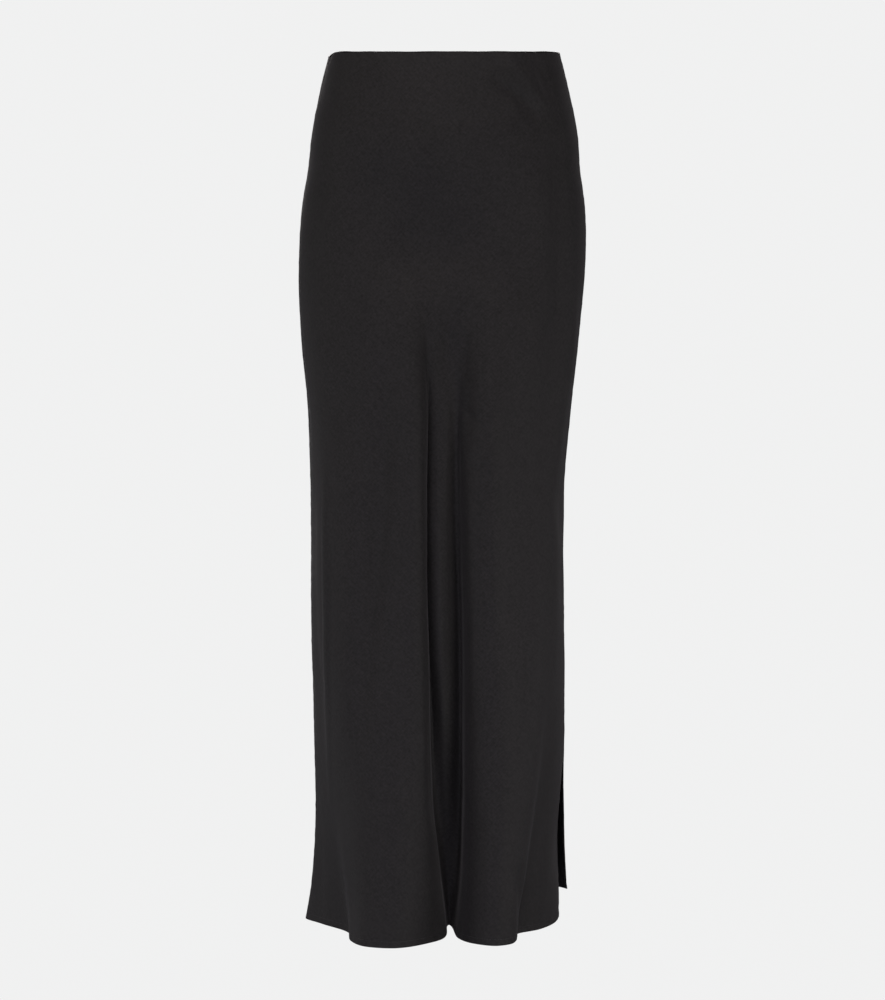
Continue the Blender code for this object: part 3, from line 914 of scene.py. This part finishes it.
# %% The sewing thread
STITCH_PITCH = 0.0031
STITCH_LENGTH = 0.0024
STITCH_VARIES = (0.86, 1.08)  # the shortest and the longest stitch, as shares of that length
THREAD = 0.0004  # diameter
THREAD_DARK = (0.008, 0.008, 0.009)
THREAD_LIGHT = (0.022, 0.021, 0.022)
THREAD_ROUGHNESS = (0.42, 0.62)  # lowest and highest
TWISTS = 2600.0  # spots of noise a metre
TWIST_DEPTH = 0.00005


def thread_finish():
    finish = Finish("black_thread")
    place = finish.node("ShaderNodeTexCoord", {}, {}, output="Object")
    twist = finish.node("ShaderNodeTexNoise", {}, {"Vector": place, "Scale": TWISTS, "Detail": 1.0})
    relief = {"Strength": 0.6, "Distance": TWIST_DEPTH, "Height": twist}
    bump = finish.node("ShaderNodeBump", {}, relief)
    colour = finish.blend(twist, THREAD_DARK, THREAD_LIGHT)
    low, high = THREAD_ROUGHNESS
    rough = low + (high - low) * twist
    finish.set(Base_Color=colour, Roughness=rough, Normal=bump, Specular_IOR_Level=0.5)
    return finish.material


thread = thread_finish()
print("stitches", STITCH_LENGTH * 1000, "mm long,", STITCH_PITCH * 1000, "mm apart")

# %% [markdown]
# The tree takes a line of edges and four named inputs. It is written once and used for all four stitch
# lines. Each bar is a ball of diameter one, scaled to its thread across and to its length along.

# %% The stitch tree
BALL = {"Segments": 6, "Rings": 4, "Radius": 0.5}
STITCH_INPUTS = {"Pitch": "Float", "Length": "Float", "Thread": "Float", "Seed": "Int"}


def stitch_tree():
    tree = bpy.data.node_groups.new("stitches_along_a_line", "GeometryNodeTree")
    for way in ("INPUT", "OUTPUT"):
        tree.interface.new_socket("Geometry", in_out=way, socket_type="NodeSocketGeometry")
    sockets = {
        name: tree.interface.new_socket(name, in_out="INPUT", socket_type="NodeSocket" + kind)
        for name, kind in STITCH_INPUTS.items()
    }
    nodes = Nodes(tree)
    line = nodes.node("NodeGroupInput", {}, {}, output="Geometry")
    curve = nodes.node("GeometryNodeMeshToCurve", {}, {"Mesh": line})
    spacing = {"Curve": curve, "Length": line.beside("Pitch")}
    points = nodes.node("GeometryNodeCurveToPoints", {"mode": "LENGTH"}, spacing)
    ball = nodes.node("GeometryNodeMeshUVSphere", {}, BALL)
    shortest, longest = STITCH_VARIES
    limits = {2: shortest, 3: longest, "Seed": line.beside("Seed")}
    varied = nodes.node("FunctionNodeRandomValue", {}, limits, output=1)
    across, along = line.beside("Thread"), varied * line.beside("Length")
    size = nodes.node("ShaderNodeCombineXYZ", {}, {"X": across, "Y": across, "Z": along})
    bars = {"Points": points, "Instance": ball, "Rotation": points.beside("Rotation"), "Scale": size}
    placed = nodes.node("GeometryNodeInstanceOnPoints", {}, bars)
    real = nodes.node("GeometryNodeRealizeInstances", {}, {"Geometry": placed})
    sewn = nodes.node("GeometryNodeSetMaterial", {}, {"Geometry": real, "Material": thread})
    nodes.plug(tree.nodes.new("NodeGroupOutput").inputs["Geometry"], sewn)
    return tree, {name: socket.identifier for name, socket in sockets.items()}


stitches_along, stitch_sockets = stitch_tree()
print("inputs:", list(stitch_sockets))

# %% [markdown]
# To sew a line, its points become a mesh of edges that carries the tree as a modifier, and the inputs are
# set. Then the result is copied into a plain mesh and the line is thrown away, so no modifier is left.

# %% Sew a line
def sew(name, points, seed):
    """Sews stitches along points and returns them as one plain mesh object."""
    line = bpy.data.meshes.new(name + "_guide")
    line.from_pydata(points, [(i, i + 1) for i in range(len(points) - 1)], [])
    guide = in_scene(line.name, line)
    modifier = guide.modifiers.new("stitches", "NODES")
    modifier.node_group = stitches_along
    given = {"Pitch": STITCH_PITCH, "Length": STITCH_LENGTH, "Thread": THREAD, "Seed": seed}
    for socket, value in given.items():
        modifier[stitch_sockets[socket]] = value
    evaluated = guide.evaluated_get(bpy.context.evaluated_depsgraph_get())
    mesh = bpy.data.meshes.new_from_object(evaluated)
    mesh.name = name
    mesh.shade_smooth()
    bpy.data.objects.remove(guide)
    return add_object(name, mesh)


print("sewing is ready, thread", THREAD * 1000, "mm thick")

# %% [markdown]
# The stitch lines are read off the finished face: at each column of the grid the point that lies the stitch
# distance from the hem, and at each row the point that far from the slit. The thread is nearly half sunk
# into the cloth.

# %% Sew the hems and the slit edges
THREAD_RISE = 0.15  # height of the stitches' middle above the cloth, as a share of the thread
HEM_SEEDS = {"front": 3, "back": 4}
SLIT_SEEDS = {"front": 7, "back": 8}


def stitch_line(points, normal, to_edge, kept):
    """On each kept grid line, the place at the stitch distance from the edge, a little above the cloth."""
    found = []
    for i in np.flatnonzero(kept):
        order = np.argsort(to_edge[i])
        near = to_edge[i, order]
        place, out = (
            Vector([np.interp(STITCH_LINE, near, values[i, order, k]) for k in range(3)])
            for values in (points, normal)
        )
        found.append(place + out * THREAD * THREAD_RISE)
    return found


stitches = {}
for side in FOLDS:
    points, normal, _, to_hem, to_slit = faces[side]
    before_slit = to_slit[:, -1] >= STITCH_LINE
    hem_line = stitch_line(points, normal, to_hem, before_slit)
    beside_slit = (-points[-1, :, 2] >= SLIT_TOP + STITCH_PITCH) & (to_hem[-1] >= STITCH_LINE)
    slit_line = stitch_line(points.swapaxes(0, 1), normal.swapaxes(0, 1), to_slit.T, beside_slit)
    stitches[side] = [
        sew(side + "_hem_stitches", hem_line, HEM_SEEDS[side]),
        sew(side + "_slit_stitches", slit_line, SLIT_SEEDS[side]),
    ]

# %% [markdown]
# ## Joining the pieces to the frame
#
# The skirt has no joint, so everything rides on the one body. Each panel and turned edge replaces its
# solid.


for side in FOLDS:
    pieces = [panels[side], *turned[side], *stitches[side]]
    nodes = [side + "_panel", side + "_hem", side + "_slit_hem"]
    for piece, node in zip(pieces, nodes):
        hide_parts(node)
    for piece in pieces:
        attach(piece, "root")

# %% [markdown]
# ## A pale studio
#
# Black cloth shows its shape only by what it reflects. A light path node lets the room and the floor look
# pale to the camera but light the cloth dimly. Otherwise they would turn the black cloth grey.

# %% Floor and room
PALE = (0.875, 0.877, 0.877)
FLOOR_BELOW = 0.42  # how far under the hem the floor lies
FLOOR_REACH = 30.0  # from the middle to each side
ROOM_LIGHT = 0.04  # brightness of the room as the cloth sees it


def pale_to_the_eye(nodes):
    """The pale colour where it is seen, and a dimmer one where it lights the cloth."""
    seen = nodes.node("ShaderNodeLightPath", {}, {}, output="Is Camera Ray")
    return nodes.blend(seen, [c * ROOM_LIGHT for c in PALE], PALE)


world = bpy.data.worlds.new("pale_room")
world.use_nodes = True
room = Nodes(world.node_tree)
room.plug(world.node_tree.nodes["Background"].inputs["Color"], pale_to_the_eye(room))
bpy.context.scene.world = world

ground = Finish("pale_floor")
glow = pale_to_the_eye(ground)
ground.set(Base_Color=(0, 0, 0, 1), Specular_IOR_Level=0.0, Emission_Strength=1.0, Emission_Color=glow)
around = ((-1, -1), (1, -1), (1, 1), (-1, 1))
corners = [(x * FLOOR_REACH, y * FLOOR_REACH, -LENGTH - FLOOR_BELOW) for x, y in around]
floor_mesh = bpy.data.meshes.new("floor")
floor_mesh.from_pydata(corners, [], [(0, 1, 2, 3)])
floor_mesh.materials.append(ground.material)
floor = add_object("floor", floor_mesh)

# %% [markdown]
# Two broad soft lights shine from above, three stand low before the skirt, and a weaker one fills in from
# the wearer's right. Small ones at the sides draw the thin bright lines along the outline, and two light
# the back. An area light is soft because it is large.

# %% Soft lights
MIDDLE = Vector((0, 0, -0.5))
LIGHT_COLUMNS = ("name", "place", "width", "height", "power", "colour")
LIGHTS = (
    ("high_front", (0.0, -2.6, 1.8), 1.4, 1.2, 28.0, (1.0, 0.95, 0.84)),
    ("top", (0.0, -0.9, 2.6), 1.6, 1.0, 30.0, (1.0, 0.91, 1.0)),
    ("left", (-2.4, -2.4, -0.3), 1.2, 1.2, 8.5, (0.92, 0.96, 0.86)),
    ("low_left", (-1.6, -1.8, -1.25), 1.0, 0.8, 16.5, (1.0, 0.96, 1.12)),
    ("low_right", (1.6, -1.8, -1.25), 1.0, 0.8, 28.5, (1.0, 0.98, 0.94)),
    ("low_front", (0.0, -2.2, -1.3), 1.4, 0.8, 11.0, (0.86, 0.88, 1.16)),
    ("side_left_high", (-2.2, -0.6, 0.6), 0.6, 1.0, 6.4, (1.0, 1.0, 0.84)),
    ("side_left_low", (-1.3, -0.15, -0.75), 0.5, 0.6, 1.1, (1.0, 0.96, 1.0)),
    ("side_right_low", (1.3, -0.15, -0.75), 0.5, 0.6, 3.9, (1.0, 0.96, 1.0)),
    ("edge_left", (-1.4, 0.5, -0.75), 0.5, 0.6, 2.5, (1.0, 0.98, 1.0)),
    ("high_back", (-0.3, 2.6, 1.7), 1.4, 1.2, 125.0, (1.0, 0.97, 0.95)),
    ("low_back", (0.0, 2.6, -1.25), 0.8, 0.2, 20.0, (1.0, 0.97, 0.95)),
)


def soft_light(name, place, width, height, power, colour):
    data = bpy.data.lights.new(name, "AREA")
    data.shape = "RECTANGLE"
    data.size, data.size_y, data.energy, data.color = width, height, power, colour
    lamp = in_scene(name, data)
    lamp.location = place
    lamp.visible_camera = False
    lamp.rotation_euler = (MIDDLE - Vector(place)).to_track_quat("-Z", "Y").to_euler()
    return lamp


lamps = [soft_light(**dict(zip(LIGHT_COLUMNS, row))) for row in LIGHTS]
print("lights:", [lamp.name for lamp in lamps])

# %% [markdown]
# ## The camera
#
# The skirt is seen straight on from the front, from over three metres away, with the lens a third of a
# metre below the waist. Such a long lens keeps the perspective calm, as in a catalogue.

# %% Camera
CAMERA_PLACE = (-0.0025, -3.3481, -0.3414)
CAMERA_DOWN = math.radians(2.798)
SENSOR = 36.0  # millimetres, along the longer side of the view
LENS = 106.578  # millimetres

camera_data = bpy.data.cameras.new("camera")
camera_data.sensor_width = SENSOR
camera_data.lens = LENS
camera = in_scene("camera", camera_data)
camera.location = CAMERA_PLACE
camera.rotation_euler = (math.pi / 2 - CAMERA_DOWN, 0, 0)
bpy.context.scene.camera = camera
bpy.context.scene.view_settings.view_transform = "Standard"
print(f"lens {LENS:.0f} mm at {-CAMERA_PLACE[1]:.2f} m")
